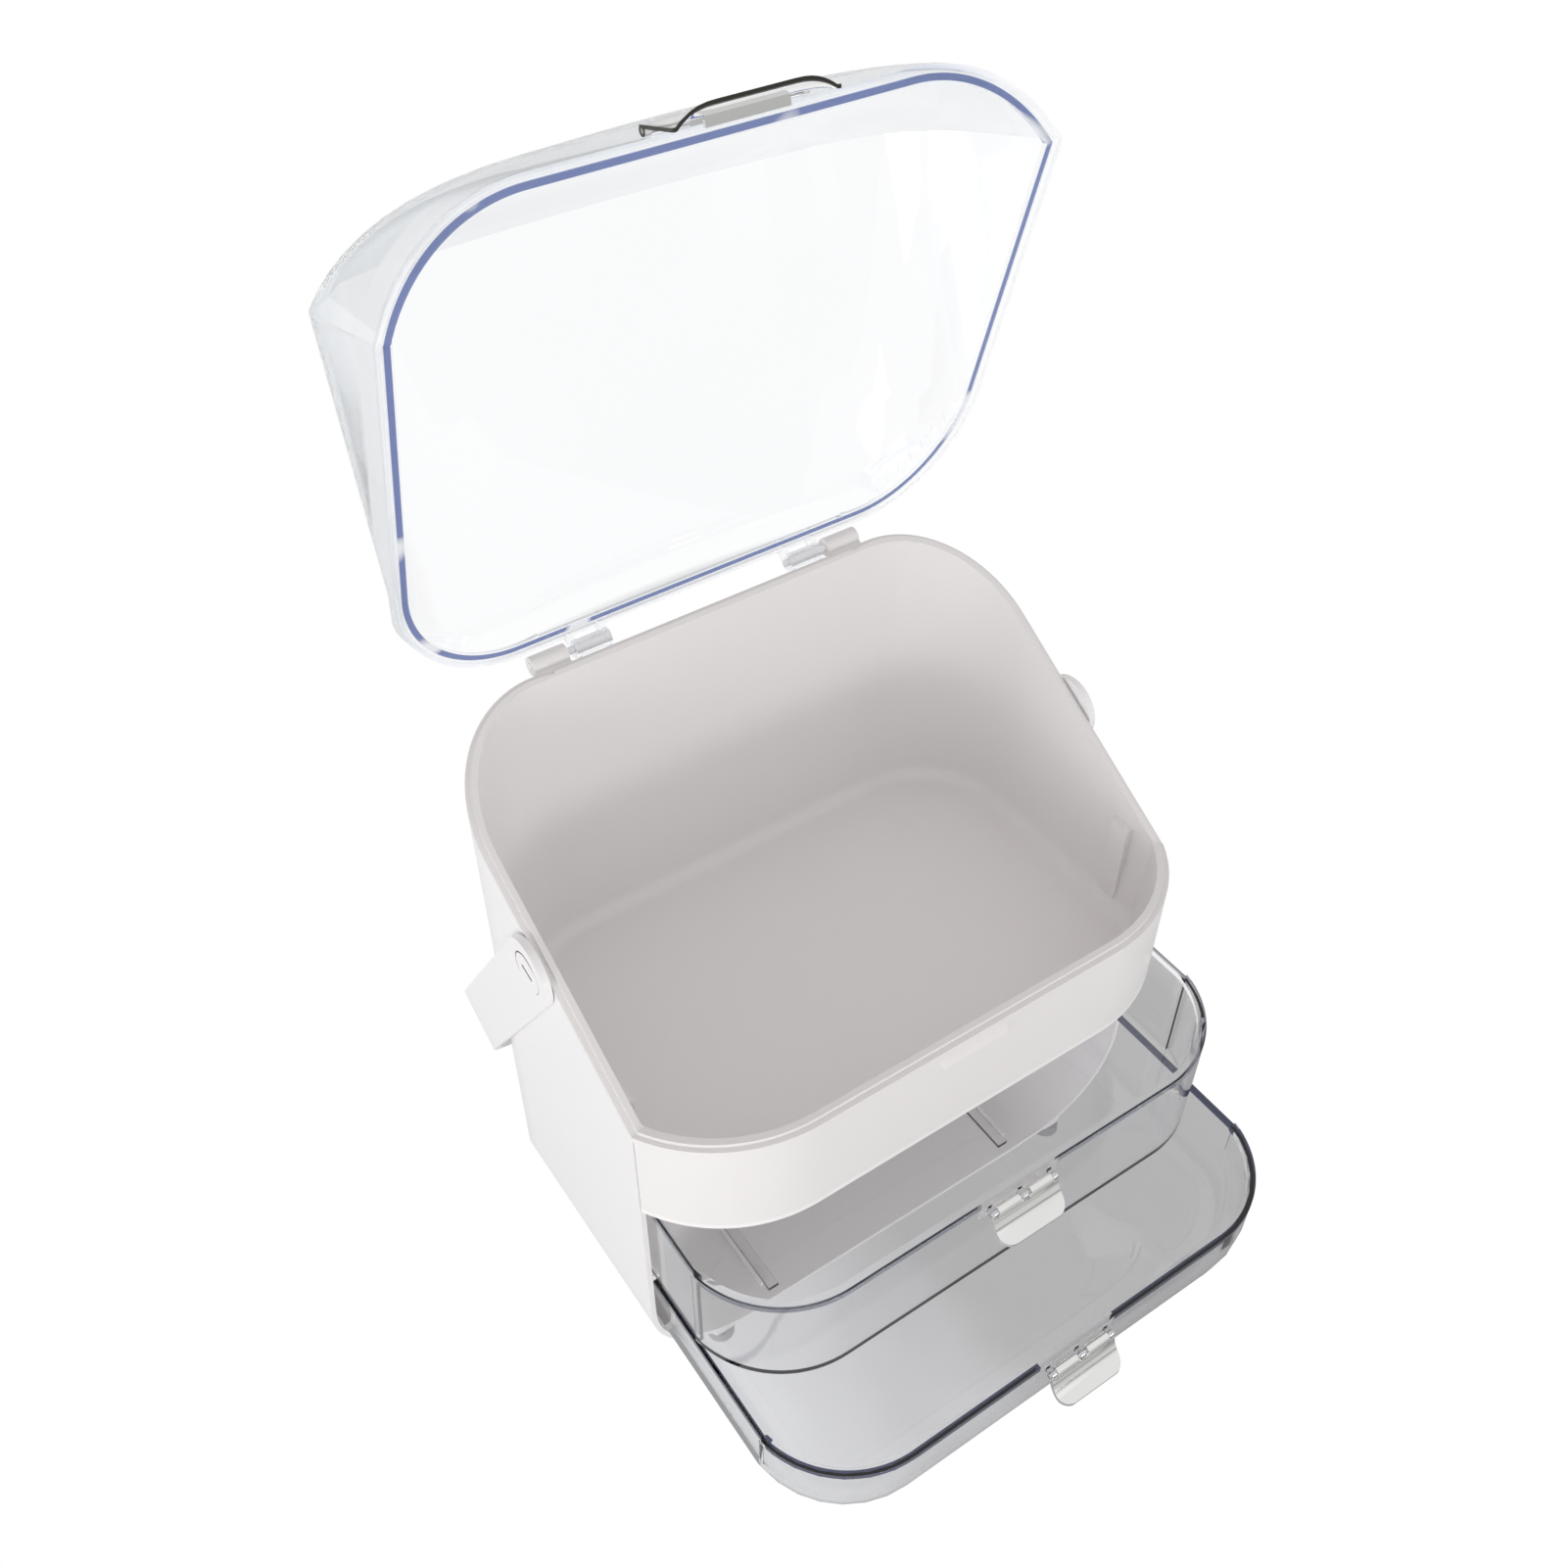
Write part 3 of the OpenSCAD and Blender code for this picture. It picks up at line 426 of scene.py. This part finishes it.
# ---------- stage ----------
def paper():
    """White to the camera, with a painted shadow near the object, where it shows through the drawers."""
    m, nt, p, out = shader("paper")
    pale = ramp(nt, noise(nt, 2, 2), [(0.3, (0.80, 0.80, 0.80)), (0.7, (0.81, 0.81, 0.81))])
    nt.links.new(pale, p.inputs["Base Color"])
    p.inputs["Roughness"].default_value = 0.9
    path = nt.nodes.new("ShaderNodeLightPath")
    camera = path.outputs["Is Camera Ray"]
    glossy = path.outputs["Is Glossy Ray"]
    through = path.outputs["Is Transmission Ray"]
    x, y, _ = split(nt, coords(nt))
    radius = length2(nt, sub(nt, x, 0.05), mul(nt, add(nt, y, 0.02), 0.8))
    uneven = add(nt, x, remap(nt, noise(nt, 11, 2, 0.5, (1, 0.6, 1)), 0.3, 0.7, -0.03, 0.03))
    sideways = remap(nt, uneven, -0.13, 0.03, 0, 1)
    # painted shadow: grey near the object, paler towards -x, unevenly
    near = ramp(nt, sideways, [(0.0, (0.76, 0.765, 0.785)), (1.0, (0.48, 0.48, 0.485))])
    shade = mix_colour(nt, remap(nt, radius, 0.19, 0.33, 0, 1), near, (1, 1, 1))
    white = nt.nodes.new("ShaderNodeEmission")
    nt.links.new(mix_colour(nt, camera, shade, (1, 1, 1)), white.inputs[0])
    # dimmer to a ray that is glossy and not transmitted
    nt.links.new(remap(nt, sub(nt, glossy, through), 0, 1, 1.0, 0.78), white.inputs[1])
    seen = most(nt, camera, most(nt, glossy, through))
    nt.links.new(mix_shader(nt, seen, p.outputs[0], white.outputs[0]), out.inputs[0])
    return m


me = bpy.data.meshes.new("floor")
me.from_pydata([(-6, -6, 0), (6, -6, 0), (6, 6, 0), (-6, 6, 0)], [], [(0, 1, 2, 3)])
floor = bpy.data.objects.new("floor", me)
scene.collection.objects.link(floor)
me.materials.append(paper())


def studio():
    """Light from round about, less from straight above; a dim horizon for mirrors; white to look at."""
    world = bpy.data.worlds.new("studio")
    world.use_nodes = True
    nt = world.node_tree
    bg = nt.nodes["Background"]
    path = nt.nodes.new("ShaderNodeLightPath")
    up = split(nt, coords(nt, "Generated"))[2]
    lit = ramp(nt, up, [(0.0, (0.86, 0.86, 0.88)), (0.35, (0.79, 0.79, 0.80)), (0.75, (0.63, 0.61, 0.595))])
    mirrored = ramp(nt, up, [(0.0, (0.40, 0.40, 0.39)), (0.10, (0.55, 0.55, 0.545)),
                             (0.2, (0.95, 0.95, 0.95)), (0.5, (1.0, 1.0, 1.0))])
    col = mix_colour(nt, path.outputs["Is Glossy Ray"], lit, mirrored)
    seen = most(nt, path.outputs["Is Camera Ray"], path.outputs["Is Transmission Ray"])
    nt.links.new(mix_colour(nt, seen, col, (1, 1, 1)), bg.inputs[0])
    bg.inputs[1].default_value = 1.0
    return world


scene.world = studio()


def area(name, where, aim, size, power, colour=(1, 1, 1)):
    d = bpy.data.lights.new(name, "AREA")
    d.shape = "RECTANGLE"
    d.size, d.size_y = size
    d.energy = power
    d.color = colour
    o = bpy.data.objects.new(name, d)
    scene.collection.objects.link(o)
    o.location = where
    o.rotation_euler = (Vector(aim) - Vector(where)).to_track_quat("-Z", "Y").to_euler()


area("side", (-1.5, -0.5, 0.22), (0, 0, 0.15), (0.9, 0.35), 6.6)
area("front", (0.25, -1.5, 0.8), (-0.05, 0.05, 0.25), (0.7, 0.6), 0.2)
area("low", (0.0, -1.4, 0.10), (0, 0.05, 0.08), (0.9, 0.16), 3.0, (1.0, 0.975, 0.965))

# ---------- camera ----------
PICTURE = 1601  # width and height in pixels, the unit of the next two
FOCAL = 1651.5
SHIFT = (3.35, 17.34)
CAMERA_AT = (-0.31285, -0.39654, 0.78445)
CAMERA_TURN = Vector((2.262, -0.697, 0.293))  # axis of the turn, as long as its angle in radians

cam = bpy.data.cameras.new("camera")
cam.sensor_width = 36
cam.lens = FOCAL / PICTURE * 36
cam.shift_x = SHIFT[0] / PICTURE
cam.shift_y = SHIFT[1] / PICTURE
cam.clip_start = 0.01
cam_o = bpy.data.objects.new("camera", cam)
scene.collection.objects.link(cam_o)
rows = Matrix.Rotation(CAMERA_TURN.length, 3, CAMERA_TURN.normalized())
axes = Matrix((rows[0], -rows[1], -rows[2])).transposed()
cam_o.matrix_world = Matrix.Translation(CAMERA_AT) @ axes.to_4x4()
scene.camera = cam_o
